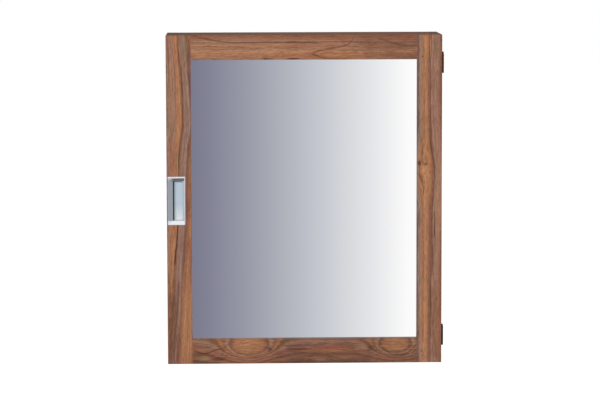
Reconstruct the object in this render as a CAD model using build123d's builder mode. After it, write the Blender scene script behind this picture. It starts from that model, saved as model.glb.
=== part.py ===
from build123d import *

import os
from math import hypot, sqrt

# Bathroom mirror cabinet in solid teak with one framed mirror door, hinged on the right.
# The wall plane is y = 0, its middle is the origin, +Z is up and the door looks along -Y.
# Every "distance" below is measured from the wall plane towards the room.
os.makedirs("parts", exist_ok=True)

# Cabinet box
cabinet_width = 500.0
cabinet_height = 600.0
box_depth = 98.0
side_thickness = 18.0
deck_thickness = 18.0
edge_ease = 1.5
back_thickness = 6.0
back_lap = 8.0
back_clearance = 0.25
hanging_rail_height = 50.0
hanging_rail_thickness = 15.0

# Wall fixing holes
wall_hole_radius = 2.75
wall_sink_radius = 5.5
wall_hole_inset = 52.0

# Dowels
dowel_radius = 4.0
dowel_in_side = 10.0
dowel_in_board = 24.0
dowel_inset = 18.0
dowel_side_clearance = 0.05
hole_end_clearance = 1.0

# Shelves and their pins
shelf_thickness = 14.0
shelf_back_gap = 2.0
shelf_setback = 8.0
shelf_nosing = 2.0
pin_radius = 2.5
pin_in_side = 8.5
pin_nose = 7.0
pin_collar_radius = 4.0
pin_collar_thickness = 1.0
pin_inset = 28.0
pin_pitch = 32.0
pin_chamfer = 0.5
pin_clearance = 0.05
shelf_end_gap = pin_collar_thickness + 0.3

# Door
door_gap = 2.4
door_thickness = 22.0
frame_width = 45.0
lip_thickness = 10.0
rebate_width = 8.0
inner_round = 2.0
tenon_length = 30.0
tenon_thickness = 7.0
tenon_shoulder = 8.0
tenon_clearance = 0.1
glass_thickness = 4.0
glass_arris = 0.4
glass_clearance = 0.8
backing_thickness = 3.0
bead_width = 10.0
bead_round = 2.0
bead_clearance = 0.2
brad_radius = 0.6
brad_head_radius = 0.95
brad_head_thickness = 0.5
brad_length = 16.0
brad_clearance = 0.05
brad_spread = 0.66

# Flush pull
pull_width = 32.0
pull_height = 88.0
pull_margin = 1.7
pull_corner = 1.5
pull_edge_round = 0.8
pull_proud = 1.0
pull_flange = 2.0
pull_rim = 1.3
dish_depth = 2.0
dish_left = 9.5
dish_right = 4.2
dish_end = 8.0
pocket_depth = 10.5
pocket_lip = 1.2
pocket_undercut = 3.0
pocket_corner = 5.0
pocket_floor_sag = 1.6
pocket_end_round = 3.0
cup_wall = 1.3
cup_end_wall = 6.0
cup_corner = 2.0
cup_clearance = 0.3
pull_screw_radius = 1.5
pull_screw_head = 2.9
pull_screw_length = 16.0

# Hinges
hinge_height = 35.0
hinge_inset = 50.0
hinge_drop = 3.4
leaf_thickness = 1.0
leaf_margin = 1.2
leaf_corner = 2.5
knuckle_count = 5
knuckle_gap = 0.3
knuckle_wall = 1.2
hinge_pin_radius = 1.5
hinge_pin_clearance = 0.06
pin_head_radius = 2.4
pin_head_height = 3.2
pin_neck_height = 0.6
pin_head_round = 1.4
moving_clearance = 0.35
hinge_screw_head = 2.6
hinge_screw_radius = 1.25
hinge_screw_length = 16.0
hinge_screw_spacing = 21.0

# Magnetic catch and door bumpers
catch_height = 28.0
catch_width = 12.6
catch_depth = 15.0
catch_corner = 1.5
catch_ear = 8.0
catch_ear_thickness = 2.5
catch_wall = 1.6
pole_thickness = 1.2
magnet_thickness = 4.0
magnet_depth = 10.0
magnet_recess = 0.5
magnet_clearance = 0.1
catch_running_gap = 0.3
catch_screw_length = 12.0
strike_height = 26.0
strike_width = 13.0
strike_thickness = 1.2
strike_corner = 2.0
strike_screw_length = 10.0
bumper_radius = 4.0
bumper_round = 0.8
bumper_inset = 20.0

# Small screws
small_screw_head = 2.6
small_screw_radius = 1.25
back_screw_head = 3.0
back_screw_radius = 1.5
back_screw_length = 18.0
back_screw_sink = 0.3
screw_clearance = 0.05
screw_point_ratio = 3.0
head_overcut = 1.0
slot_width = 0.7
slot_depth = 0.7

# Planes and lines that the pieces share
half_width = cabinet_width / 2
half_height = cabinet_height / 2
inner_half_width = half_width - side_thickness
inner_half_height = half_height - deck_thickness
door_back = box_depth + door_gap
door_front = door_back + door_thickness
glass_front = door_front - lip_thickness
opening_half_width = half_width - frame_width
opening_half_height = half_height - frame_width
rebate_half_width = opening_half_width + rebate_width
rebate_half_height = opening_half_height + rebate_width
shelf_pin_heights = (-inner_half_height / 3, inner_half_height / 3)
pin_distances = (back_thickness + pin_inset, box_depth - pin_inset)
hanging_rail_middle = inner_half_height - hanging_rail_height / 2
hanging_rail_front = back_thickness + hanging_rail_thickness


def facing(distance, x, z, outward=(0, -1, 0)):
    """A plane at a distance from the wall, at x and z, whose normal is the way something faces."""
    return Plane(origin=(x, -distance, z), z_dir=outward)


def screw_and_hole(head_radius, shank_radius, length):
    """A countersunk screw, head up in the plane z = 0 and point down, and the hole it leaves."""
    head_depth = head_radius - shank_radius
    point_height = screw_point_ratio * shank_radius
    with BuildPart() as screw:
        with BuildSketch(Plane.XZ):
            with BuildLine():
                Polyline(
                    (0, 0),
                    (head_radius, 0),
                    (shank_radius, -head_depth),
                    (shank_radius, point_height - length),
                    (0, -length),
                    close=True,
                )
            make_face()
        revolve(axis=Axis.Z)
        with BuildSketch():
            Rectangle(2 * (head_radius + screw_clearance), slot_width)
        extrude(amount=-slot_depth, mode=Mode.SUBTRACT)
    with BuildPart() as hole:
        wide = head_radius + screw_clearance
        narrow = shank_radius + screw_clearance
        with BuildSketch(Plane.XZ):
            with BuildLine():
                Polyline(
                    (0, head_overcut),
                    (wide, head_overcut),
                    (wide, 0),
                    (narrow, -head_depth),
                    (narrow, -length - screw_clearance),
                    (0, -length - screw_clearance),
                    close=True,
                )
            make_face()
        revolve(axis=Axis.Z)
    return screw.part, hole.part


hinge_screw, hinge_screw_hole = screw_and_hole(hinge_screw_head, hinge_screw_radius, hinge_screw_length)
back_screw, back_screw_hole = screw_and_hole(back_screw_head, back_screw_radius, back_screw_length)
catch_screw, catch_screw_hole = screw_and_hole(small_screw_head, small_screw_radius, catch_screw_length)
strike_screw, strike_screw_hole = screw_and_hole(small_screw_head, small_screw_radius, strike_screw_length)
pull_screw, pull_screw_hole = screw_and_hole(pull_screw_head, pull_screw_radius, pull_screw_length)

# Hinge axis: as close to the corner of the box as the barrel can turn past the eased edges
barrel_radius = hinge_pin_radius + hinge_pin_clearance + knuckle_wall
barrel_reach = barrel_radius + moving_clearance + edge_ease
axis_outset = sqrt(barrel_reach**2 - (door_gap / 2 + edge_ease) ** 2) - edge_ease
axis_x = half_width + axis_outset
axis_distance = box_depth + door_gap / 2
leaf_inner_x = inner_half_width + leaf_margin
hinge_screw_x = (leaf_inner_x + half_width - edge_ease) / 2
hinge_middles = {
    "upper": half_height - hinge_inset - hinge_drop,
    "lower": hinge_inset - half_height - hinge_drop,
}
leaf_face = {"cabinet": box_depth + leaf_thickness, "door": door_back - leaf_thickness}
leaf_outward = {"cabinet": (0, -1, 0), "door": (0, 1, 0)}


def hinge_screw_planes(owner):
    """Where the screws of both hinges sit in the leaves of the cabinet or of the door."""
    return [
        facing(leaf_face[owner], hinge_screw_x, middle + way * hinge_screw_spacing / 2, leaf_outward[owner])
        for middle in hinge_middles.values()
        for way in (-1, 1)
    ]


# Magnetic catch, halfway between the upper shelf and the top, with its front close to the strike
catch_z = (shelf_pin_heights[1] + pin_radius + shelf_thickness + inner_half_height) / 2
catch_x = -inner_half_width + catch_width / 2
pole_face = door_back - strike_thickness - catch_running_gap
catch_front = box_depth
catch_ear_z = catch_height / 2 + catch_ear / 2
catch_screw_planes = [
    Plane(
        origin=(
            catch_ear_thickness - inner_half_width,
            catch_depth / 2 - catch_front,
            catch_z + way * catch_ear_z,
        ),
        z_dir=(1, 0, 0),
    )
    for way in (-1, 1)
]
strike_screw_plane = facing(door_back - strike_thickness, catch_x, catch_z, (0, 1, 0))

# Flush pull, placed from the free edge of the door
pull_x = pull_margin + pull_width / 2 - half_width
pull_front = door_front + pull_proud
mouth_left = pull_x - pull_width / 2 + dish_left
mouth_right = pull_x + pull_width / 2 - dish_right
pocket_half_height = pull_height / 2 - dish_end
cup_left = mouth_left - pocket_undercut - cup_wall
cup_right = mouth_right + cup_wall
cup_middle = (cup_left + cup_right) / 2
cup_half_height = pocket_half_height + cup_end_wall
cup_back = pull_front - pocket_depth - cup_wall
pull_screw_planes = [
    facing(door_back, cup_middle, way * (pocket_half_height + cup_end_wall / 2), (0, 1, 0)) for way in (-1, 1)
]

# Dowels: three in each end of the top and bottom, one in each end of the hanging rails
deck_dowel_z = half_height - deck_thickness / 2
deck_dowel_distances = (
    back_thickness + dowel_inset,
    (box_depth + back_thickness) / 2,
    box_depth - dowel_inset,
)
dowel_middle_x = inner_half_width + (dowel_in_side - dowel_in_board) / 2
dowel_places = [
    (side * dowel_middle_x, -distance, end * deck_dowel_z)
    for side in (-1, 1)
    for end in (-1, 1)
    for distance in deck_dowel_distances
] + [
    (side * dowel_middle_x, -(back_thickness + hanging_rail_thickness / 2), end * hanging_rail_middle)
    for side in (-1, 1)
    for end in (-1, 1)
]
dowel_length = dowel_in_side + dowel_in_board

with BuildPart() as carcase_dowels:
    with BuildPart(mode=Mode.PRIVATE) as dowel:
        Cylinder(dowel_radius, dowel_length, rotation=(0, 90, 0))
    with Locations(*dowel_places):
        add(dowel.part)
carcase_dowels.part.label = "carcase_dowels"
export_step(carcase_dowels.part, "parts/carcase_dowels.step")

with BuildPart() as dowel_holes:
    with Locations(*dowel_places):
        Cylinder(
            dowel_radius + dowel_side_clearance,
            dowel_length + 2 * hole_end_clearance,
            rotation=(0, 90, 0),
        )

# Screws that hold the back panel, in the middle of the rebate it lies in
back_screw_x = inner_half_width + back_lap / 2
back_screw_z = inner_half_height + back_lap / 2
back_screw_step = hanging_rail_middle - hanging_rail_height
back_screw_points = [
    (side * back_screw_x, step * back_screw_step) for side in (-1, 1) for step in (-1, 0, 1)
] + [(side * inner_half_width / 2, end * back_screw_z) for side in (-1, 1) for end in (-1, 1)]
back_screw_planes = [facing(back_screw_sink, x, z, (0, 1, 0)) for x, z in back_screw_points]

with BuildPart() as back_panel_screws:
    with Locations(*back_screw_planes):
        add(back_screw)
back_panel_screws.part.label = "back_panel_screws"
export_step(back_panel_screws.part, "parts/back_panel_screws.step")

# Side panels, full height, with a stopped rebate for the back and rows of shelf pin holes
pin_hole_points = [
    (-distance, middle + step * pin_pitch)
    for distance in pin_distances
    for middle in shelf_pin_heights
    for step in (-1, 0, 1)
]
for side_name, side in (("left", -1), ("right", 1)):
    with BuildPart() as side_panel:
        with BuildSketch(Plane.YZ.offset(side * inner_half_width)):
            with Locations((-box_depth / 2, 0)):
                Rectangle(box_depth, cabinet_height)
        extrude(amount=side * side_thickness)
        outer_face = side_panel.faces().sort_by(Axis.X)[0 if side < 0 else -1]
        fillet(outer_face.edges(), edge_ease)
        with BuildSketch(Plane.YZ.offset(side * inner_half_width)):
            with Locations((-back_thickness / 2, 0)):
                Rectangle(back_thickness, 2 * (inner_half_height + back_lap))
        extrude(amount=side * back_lap, mode=Mode.SUBTRACT)
        with BuildSketch(Plane.YZ.offset(side * inner_half_width)):
            with Locations(*pin_hole_points):
                Circle(pin_radius + pin_clearance)
        extrude(amount=side * (pin_in_side + hole_end_clearance), mode=Mode.SUBTRACT)
        add(dowel_holes.part, mode=Mode.SUBTRACT)
        with Locations(*back_screw_planes):
            add(back_screw_hole, mode=Mode.SUBTRACT)
        if side < 0:
            with Locations(*catch_screw_planes):
                add(catch_screw_hole, mode=Mode.SUBTRACT)
        else:
            with Locations(*hinge_screw_planes("cabinet")):
                add(hinge_screw_hole, mode=Mode.SUBTRACT)
    side_panel.part.label = f"{side_name}_side_panel"
    export_step(side_panel.part, f"parts/{side_name}_side_panel.step")

# Top and bottom panels between the sides
for deck_name, end in (("top", 1), ("bottom", -1)):
    with BuildPart() as deck_panel:
        with BuildSketch(Plane.XY.offset(end * inner_half_height)):
            with Locations((0, -box_depth / 2)):
                Rectangle(2 * inner_half_width, box_depth)
        extrude(amount=end * deck_thickness)
        outer_face = deck_panel.faces().sort_by(Axis.Z)[-1 if end > 0 else 0]
        fillet(outer_face.edges().filter_by(Axis.X), edge_ease)
        with BuildSketch(Plane.XY.offset(end * inner_half_height)):
            with Locations((0, -back_thickness / 2)):
                Rectangle(2 * inner_half_width, back_thickness)
        extrude(amount=end * back_lap, mode=Mode.SUBTRACT)
        add(dowel_holes.part, mode=Mode.SUBTRACT)
        with Locations(*back_screw_planes):
            add(back_screw_hole, mode=Mode.SUBTRACT)
    deck_panel.part.label = f"{deck_name}_panel"
    export_step(deck_panel.part, f"parts/{deck_name}_panel.step")

# Hanging rails behind the shelves, drilled for the wall screws
wall_hole_x = inner_half_width - wall_hole_inset
for rail_name, end in (("upper", 1), ("lower", -1)):
    with BuildPart() as hanging_rail:
        with BuildSketch(Plane.XZ.offset(back_thickness)):
            with Locations((0, end * hanging_rail_middle)):
                Rectangle(2 * inner_half_width, hanging_rail_height)
        extrude(amount=hanging_rail_thickness)
        inner_edge = hanging_rail.edges().filter_by(Axis.X).group_by(Axis.Y)[0].sort_by(Axis.Z)
        chamfer(inner_edge[0 if end > 0 else -1], edge_ease)
        wall_hole_z = end * hanging_rail_middle
        with Locations(*[facing(hanging_rail_front, side * wall_hole_x, wall_hole_z) for side in (-1, 1)]):
            CounterSinkHole(wall_hole_radius, wall_sink_radius, hanging_rail_thickness, 90)
        add(dowel_holes.part, mode=Mode.SUBTRACT)
    hanging_rail.part.label = f"{rail_name}_hanging_rail"
    export_step(hanging_rail.part, f"parts/{rail_name}_hanging_rail.step")

# Plywood back, flush with the wall plane
with BuildPart() as back_panel:
    with BuildSketch(Plane.XZ):
        Rectangle(
            2 * (inner_half_width + back_lap - back_clearance),
            2 * (inner_half_height + back_lap - back_clearance),
        )
    extrude(amount=back_thickness)
    with BuildSketch(Plane.XZ):
        with Locations(*[(i * wall_hole_x, j * hanging_rail_middle) for i in (-1, 1) for j in (-1, 1)]):
            Circle(wall_hole_radius)
    extrude(amount=back_thickness, mode=Mode.SUBTRACT)
    with Locations(*back_screw_planes):
        add(back_screw_hole, mode=Mode.SUBTRACT)
back_panel.part.label = "back_panel"
export_step(back_panel.part, "parts/back_panel.step")

# Two shelves, each resting on four pins
shelf_back = back_thickness + shelf_back_gap
shelf_front = box_depth - shelf_setback
for shelf_name, pin_z in zip(("lower", "upper"), shelf_pin_heights):
    with BuildPart() as shelf:
        with BuildSketch(Plane.XY.offset(pin_z + pin_radius)):
            with Locations((0, -(shelf_back + shelf_front) / 2)):
                Rectangle(2 * (inner_half_width - shelf_end_gap), shelf_front - shelf_back)
        extrude(amount=shelf_thickness)
        fillet(shelf.edges().filter_by(Axis.X).group_by(Axis.Y)[0], shelf_nosing)
    shelf.part.label = f"{shelf_name}_shelf"
    export_step(shelf.part, f"parts/{shelf_name}_shelf.step")

# Turned shelf pins: shank in the side, collar against it, nose under the shelf
with BuildPart() as shelf_pins:
    with BuildPart(mode=Mode.PRIVATE) as shelf_pin:
        Cylinder(pin_radius, pin_in_side, align=(Align.CENTER, Align.CENTER, Align.MAX))
        Cylinder(
            pin_collar_radius,
            pin_collar_thickness,
            align=(Align.CENTER, Align.CENTER, Align.MIN),
        )
        Cylinder(
            pin_radius,
            pin_collar_thickness + pin_nose,
            align=(Align.CENTER, Align.CENTER, Align.MIN),
        )
        chamfer(shelf_pin.edges().group_by(Axis.Z)[-1], pin_chamfer)
    with Locations(
        *[
            Plane(origin=(side * inner_half_width, -distance, pin_z), z_dir=(-side, 0, 0))
            for side in (-1, 1)
            for distance in pin_distances
            for pin_z in shelf_pin_heights
        ]
    ):
        add(shelf_pin.part)
shelf_pins.part.label = "shelf_pins"
export_step(shelf_pins.part, "parts/shelf_pins.step")

# Door stiles, full height, mortised for the rails and rebated behind the opening
tenon_low = opening_half_height + rebate_width
tenon_high = half_height - tenon_shoulder
tenon_middle = (tenon_low + tenon_high) / 2
tenon_plane_distance = door_front - door_thickness / 2 + tenon_thickness / 2
bead_mid_distance = door_back + (door_thickness - lip_thickness - glass_thickness - backing_thickness) / 2
bead_outer_half_width = rebate_half_width - bead_clearance
bead_outer_half_height = rebate_half_height - bead_clearance
bead_inner_half_width = bead_outer_half_width - bead_width
bead_inner_half_height = bead_outer_half_height - bead_width

# Brads that pin each bead to the frame, driven outwards from the opening
brad_planes = [
    Plane(origin=(side * bead_inner_half_width, -bead_mid_distance, step * brad_spread * opening_half_height),
          z_dir=(-side, 0, 0))
    for side in (-1, 1)
    for step in (-1, 0, 1)
] + [
    Plane(origin=(step * brad_spread * opening_half_width, -bead_mid_distance, end * bead_inner_half_height),
          z_dir=(0, 0, -end))
    for end in (-1, 1)
    for step in (-1, 0, 1)
]
with BuildPart() as bead_brads:
    with BuildPart(mode=Mode.PRIVATE) as brad:
        Cylinder(brad_radius, brad_length, align=(Align.CENTER, Align.CENTER, Align.MAX))
        Cylinder(brad_head_radius, brad_head_thickness, align=(Align.CENTER, Align.CENTER, Align.MAX))
    with Locations(*brad_planes):
        add(brad.part)
bead_brads.part.label = "bead_brads"
export_step(bead_brads.part, "parts/bead_brads.step")

with BuildPart() as brad_holes:
    with Locations(*brad_planes):
        Cylinder(
            brad_radius + brad_clearance,
            brad_length + brad_clearance,
            align=(Align.CENTER, Align.CENTER, Align.MAX),
        )
    with Locations(*brad_planes):
        Cylinder(
            brad_head_radius + brad_clearance,
            brad_head_thickness + brad_clearance,
            align=(Align.CENTER, Align.CENTER, Align.MAX),
        )

for stile_name, side in (("left", -1), ("right", 1)):
    opening_x = side * opening_half_width
    with BuildPart() as stile:
        with BuildSketch(Plane.XZ.offset(door_back)):
            with Locations((side * (half_width - frame_width / 2), 0)):
                Rectangle(frame_width, cabinet_height)
        extrude(amount=door_thickness)
        outer_edges = stile.faces().sort_by(Axis.X)[0 if side < 0 else -1].edges()
        end_edges = stile.edges().filter_by(Axis.X)
        fillet(outer_edges + end_edges, edge_ease)
        with BuildSketch(Plane.XZ.offset(door_back)):
            with Locations((opening_x + side * rebate_width / 2, 0)):
                Rectangle(rebate_width, 2 * rebate_half_height)
        extrude(amount=door_thickness - lip_thickness, mode=Mode.SUBTRACT)
        with BuildSketch(Plane.XY.offset(-opening_half_height)):
            with Locations((opening_x + side * inner_round / 2, inner_round / 2 - door_front)):
                Rectangle(inner_round, inner_round)
            with Locations((opening_x + side * inner_round, inner_round - door_front)):
                Circle(inner_round, mode=Mode.SUBTRACT)
        extrude(amount=2 * opening_half_height, mode=Mode.SUBTRACT)
        with BuildSketch(Plane.YZ.offset(opening_x)):
            mortise_y = tenon_thickness / 2 - tenon_plane_distance
            with Locations((mortise_y, -tenon_middle), (mortise_y, tenon_middle)):
                Rectangle(
                    tenon_thickness + 2 * tenon_clearance,
                    tenon_high - tenon_low + 2 * tenon_clearance,
                )
        extrude(amount=side * (tenon_length + hole_end_clearance), mode=Mode.SUBTRACT)
        add(brad_holes.part, mode=Mode.SUBTRACT)
        if side < 0:
            with BuildSketch(Plane.XZ.offset(door_front)):
                with Locations((pull_x, 0)):
                    RectangleRounded(
                        pull_width + 2 * screw_clearance,
                        pull_height + 2 * screw_clearance,
                        pull_corner,
                    )
            extrude(amount=pull_proud - pull_flange, mode=Mode.SUBTRACT)
            with BuildSketch(Plane.XZ.offset(door_front)):
                with Locations((cup_middle, 0)):
                    RectangleRounded(
                        cup_right - cup_left + 2 * cup_clearance,
                        2 * (cup_half_height + cup_clearance),
                        cup_corner,
                    )
            extrude(amount=cup_back - cup_clearance - door_front, mode=Mode.SUBTRACT)
            with Locations(*pull_screw_planes):
                add(pull_screw_hole, mode=Mode.SUBTRACT)
            with Locations(strike_screw_plane):
                add(strike_screw_hole, mode=Mode.SUBTRACT)
        else:
            with Locations(*hinge_screw_planes("door")):
                add(hinge_screw_hole, mode=Mode.SUBTRACT)
    stile.part.label = f"{stile_name}_stile"
    export_step(stile.part, f"parts/{stile_name}_stile.step")

# Door rails between the stiles, tenoned at both ends
for rail_name, end in (("top", 1), ("bottom", -1)):
    with BuildPart() as rail:
        with BuildSketch(Plane.XZ.offset(door_back)):
            with Locations((0, end * (half_height - frame_width / 2))):
                Rectangle(2 * opening_half_width, frame_width)
        extrude(amount=door_thickness)
        outer_edges = rail.faces().sort_by(Axis.Z)[-1 if end > 0 else 0].edges().filter_by(Axis.X)
        fillet(outer_edges, edge_ease)
        opening_face = rail.faces().sort_by(Axis.Z)[0 if end > 0 else -1]
        fillet(opening_face.edges().filter_by(Axis.X).sort_by(Axis.Y)[0], inner_round)
        with BuildSketch(Plane.XZ.offset(door_back)):
            with Locations((0, end * (opening_half_height + rebate_width / 2))):
                Rectangle(2 * opening_half_width, rebate_width)
        extrude(amount=door_thickness - lip_thickness, mode=Mode.SUBTRACT)
        with BuildSketch(Plane.XZ.offset(tenon_plane_distance)):
            with Locations((0, end * tenon_middle)):
                Rectangle(2 * (opening_half_width + tenon_length), tenon_high - tenon_low)
        extrude(amount=-tenon_thickness)
        add(brad_holes.part, mode=Mode.SUBTRACT)
    rail.part.label = f"{rail_name}_rail"
    export_step(rail.part, f"parts/{rail_name}_rail.step")

# Silvered mirror glass against the lip of the frame, with polished arrises
with BuildPart() as mirror_glass:
    with BuildSketch(Plane.XZ.offset(glass_front)):
        Rectangle(2 * (rebate_half_width - glass_clearance), 2 * (rebate_half_height - glass_clearance))
    extrude(amount=-glass_thickness)
    chamfer(mirror_glass.edges().filter_by(Axis.Y, reverse=True), glass_arris)
mirror_glass.part.label = "mirror_glass"
export_step(mirror_glass.part, "parts/mirror_glass.step")

# Plywood backing board behind the mirror
with BuildPart() as backing_board:
    with BuildSketch(Plane.XZ.offset(glass_front - glass_thickness)):
        Rectangle(2 * (rebate_half_width - glass_clearance), 2 * (rebate_half_height - glass_clearance))
    extrude(amount=-backing_thickness)
backing_board.part.label = "backing_board"
export_step(backing_board.part, "parts/backing_board.step")

# Retaining beads, mitred at the corners and flush with the back of the door
bead_corners = {
    "top": [(-1, 1), (1, 1)],
    "right": [(1, 1), (1, -1)],
    "bottom": [(1, -1), (-1, -1)],
    "left": [(-1, -1), (-1, 1)],
}
bead_front = glass_front - glass_thickness - backing_thickness
for bead_name, (first, last) in bead_corners.items():
    with BuildPart() as bead:
        with BuildSketch(Plane.XZ.offset(bead_front)):
            with BuildLine():
                Polyline(
                    (first[0] * bead_outer_half_width, first[1] * bead_outer_half_height),
                    (last[0] * bead_outer_half_width, last[1] * bead_outer_half_height),
                    (last[0] * bead_inner_half_width, last[1] * bead_inner_half_height),
                    (first[0] * bead_inner_half_width, first[1] * bead_inner_half_height),
                    close=True,
                )
            make_face()
        extrude(amount=door_back - bead_front)
        along = Axis.X if bead_name in ("top", "bottom") else Axis.Z
        back_edges = bead.edges().filter_by(along).group_by(Axis.Y)[-1]
        inner_edge = back_edges.sort_by(lambda edge: hypot(edge.center().X, edge.center().Z))[0]
        fillet(inner_edge, bead_round)
        add(brad_holes.part, mode=Mode.SUBTRACT)
    bead.part.label = f"{bead_name}_bead"
    export_step(bead.part, f"parts/{bead_name}_bead.step")

# Flush pull: a cast plate with a dished face and a scooped finger pocket, undercut towards the door's edge
with BuildPart() as finger_pocket:
    mouth_width = mouth_right - mouth_left
    deepest_corner = (-pocket_undercut, pocket_depth)
    pocket_end = Plane(origin=(mouth_left, -pull_front, -pocket_half_height), z_dir=(0, 0, 1))
    with BuildSketch(pocket_end) as profile:
        with BuildLine():
            Polyline(
                (mouth_width, dish_depth),
                (mouth_width, 0),
                (0, 0),
                (0, dish_depth + pocket_lip),
                (-pocket_undercut, dish_depth + pocket_lip),
                deepest_corner,
            )
            SagittaArc(deepest_corner, (mouth_width, dish_depth), pocket_floor_sag)
        make_face()
        undercut_corner = profile.vertices().group_by(Axis.X)[0].sort_by(Axis.Y)[-1]
        fillet(undercut_corner, pocket_corner)
    extrude(amount=2 * pocket_half_height)
    end_edges = finger_pocket.edges().group_by(Axis.Z)[0] + finger_pocket.edges().group_by(Axis.Z)[-1]
    below_lip = dish_depth + pocket_lip + pocket_corner / 2 - pull_front
    fillet(end_edges.filter_by(lambda edge: edge.center().Y > below_lip), pocket_end_round)

with BuildPart() as flush_pull:
    with BuildSketch(Plane.XZ.offset(pull_front - pull_flange)):
        with Locations((pull_x, 0)):
            RectangleRounded(pull_width, pull_height, pull_corner)
    extrude(amount=pull_flange)
    fillet(flush_pull.faces().sort_by(Axis.Y)[0].edges(), pull_edge_round)
    with BuildSketch(Plane.XZ.offset(pull_front - pull_flange)):
        with Locations((cup_middle, 0)):
            RectangleRounded(cup_right - cup_left, 2 * cup_half_height, cup_corner)
    extrude(amount=cup_back - (pull_front - pull_flange))
    with BuildSketch(Plane.XZ.offset(pull_front)):
        with Locations((pull_x, 0)):
            Rectangle(pull_width - 2 * pull_rim, pull_height - 2 * pull_rim)
    with BuildSketch(Plane.XZ.offset(pull_front - dish_depth)):
        with Locations(((mouth_left + mouth_right) / 2, 0)):
            Rectangle(mouth_width, 2 * pocket_half_height)
    loft(mode=Mode.SUBTRACT)
    add(finger_pocket.part, mode=Mode.SUBTRACT)
    with Locations(*pull_screw_planes):
        add(pull_screw_hole, mode=Mode.SUBTRACT)
flush_pull.part.label = "flush_pull"
export_step(flush_pull.part, "parts/flush_pull.step")

with BuildPart() as pull_screws:
    with Locations(*pull_screw_planes):
        add(pull_screw)
pull_screws.part.label = "pull_screws"
export_step(pull_screws.part, "parts/pull_screws.step")

# Butt hinges: knuckles of the cabinet leaf and the door leaf take turns along the barrel
knuckle_pitch = (hinge_height + knuckle_gap) / knuckle_count
knuckle_length = knuckle_pitch - knuckle_gap
knuckle_offsets = [(i - (knuckle_count - 1) / 2) * knuckle_pitch for i in range(knuckle_count)]
owner_knuckles = {"cabinet": knuckle_offsets[0::2], "door": knuckle_offsets[1::2]}
for hinge_name, middle in hinge_middles.items():
    for owner, other in (("cabinet", "door"), ("door", "cabinet")):
        with BuildPart() as leaf:
            with BuildSketch(Plane.XZ.offset(leaf_face[owner])) as plate:
                with Locations(((leaf_inner_x + axis_x) / 2, middle)):
                    Rectangle(axis_x - leaf_inner_x, hinge_height)
                fillet(plate.vertices().group_by(Axis.X)[0], leaf_corner)
            extrude(amount=leaf_thickness if owner == "door" else -leaf_thickness)
            with Locations(*[(axis_x, -axis_distance, middle + offset) for offset in owner_knuckles[other]]):
                Cylinder(
                    barrel_radius + moving_clearance,
                    knuckle_length + 2 * knuckle_gap,
                    mode=Mode.SUBTRACT,
                )
            with Locations(*[(axis_x, -axis_distance, middle + offset) for offset in owner_knuckles[owner]]):
                Cylinder(barrel_radius, knuckle_length)
            with Locations((axis_x, -axis_distance, middle)):
                Cylinder(
                    hinge_pin_radius + hinge_pin_clearance,
                    hinge_height + 2 * knuckle_gap,
                    mode=Mode.SUBTRACT,
                )
            with Locations(*hinge_screw_planes(owner)):
                add(hinge_screw_hole, mode=Mode.SUBTRACT)
        leaf.part.label = f"{hinge_name}_hinge_{owner}_leaf"
        export_step(leaf.part, f"parts/{hinge_name}_hinge_{owner}_leaf.step")

    with BuildPart() as hinge_pin:
        with Locations((axis_x, -axis_distance, middle - hinge_height / 2)):
            Cylinder(
                hinge_pin_radius,
                hinge_height + pin_neck_height,
                align=(Align.CENTER, Align.CENTER, Align.MIN),
            )
        with Locations((axis_x, -axis_distance, middle + hinge_height / 2 + pin_neck_height)):
            Cylinder(pin_head_radius, pin_head_height, align=(Align.CENTER, Align.CENTER, Align.MIN))
        fillet(hinge_pin.edges().group_by(Axis.Z)[-1], pin_head_round)
    hinge_pin.part.label = f"{hinge_name}_hinge_pin"
    export_step(hinge_pin.part, f"parts/{hinge_name}_hinge_pin.step")

for owner in ("cabinet", "door"):
    with BuildPart() as hinge_screws:
        with Locations(*hinge_screw_planes(owner)):
            add(hinge_screw)
    hinge_screws.part.label = f"{owner}_hinge_screws"
    export_step(hinge_screws.part, f"parts/{owner}_hinge_screws.step")

# Magnetic catch on the left side: moulded housing with two screwed ears, open to the door
stack_width = magnet_thickness + 2 * pole_thickness
stack_height = catch_height - 2 * catch_wall
stack_back = catch_front - magnet_depth
with BuildPart() as catch_housing:
    with BuildSketch(Plane.YZ.offset(-inner_half_width)):
        with Locations((catch_depth / 2 - catch_front, catch_z)):
            RectangleRounded(catch_depth, catch_height + 2 * catch_ear, 2 * catch_corner)
    extrude(amount=catch_ear_thickness)
    with BuildSketch(Plane.YZ.offset(-inner_half_width)):
        with Locations((catch_depth / 2 - catch_front, catch_z)):
            Rectangle(catch_depth, catch_height)
    extrude(amount=catch_width)
    fillet(catch_housing.faces().sort_by(Axis.X)[-1].edges(), catch_corner)
    with BuildSketch(Plane.XZ.offset(catch_front)):
        with Locations((catch_x, catch_z)):
            Rectangle(stack_width + 2 * magnet_clearance, stack_height)
    extrude(amount=-magnet_depth, mode=Mode.SUBTRACT)
    with Locations(*catch_screw_planes):
        add(catch_screw_hole, mode=Mode.SUBTRACT)
catch_housing.part.label = "catch_housing"
export_step(catch_housing.part, "parts/catch_housing.step")

with BuildPart() as catch_magnet:
    with BuildSketch(Plane.XZ.offset(stack_back)):
        with Locations((catch_x, catch_z)):
            Rectangle(magnet_thickness, stack_height - 2 * magnet_clearance)
    extrude(amount=magnet_depth - magnet_recess)
catch_magnet.part.label = "catch_magnet"
export_step(catch_magnet.part, "parts/catch_magnet.step")

with BuildPart() as catch_poles:
    pole_x = (magnet_thickness + pole_thickness) / 2
    with BuildSketch(Plane.XZ.offset(stack_back)):
        with Locations((catch_x - pole_x, catch_z), (catch_x + pole_x, catch_z)):
            Rectangle(pole_thickness, stack_height - 2 * magnet_clearance)
    extrude(amount=pole_face - stack_back)
catch_poles.part.label = "catch_poles"
export_step(catch_poles.part, "parts/catch_poles.step")

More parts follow.
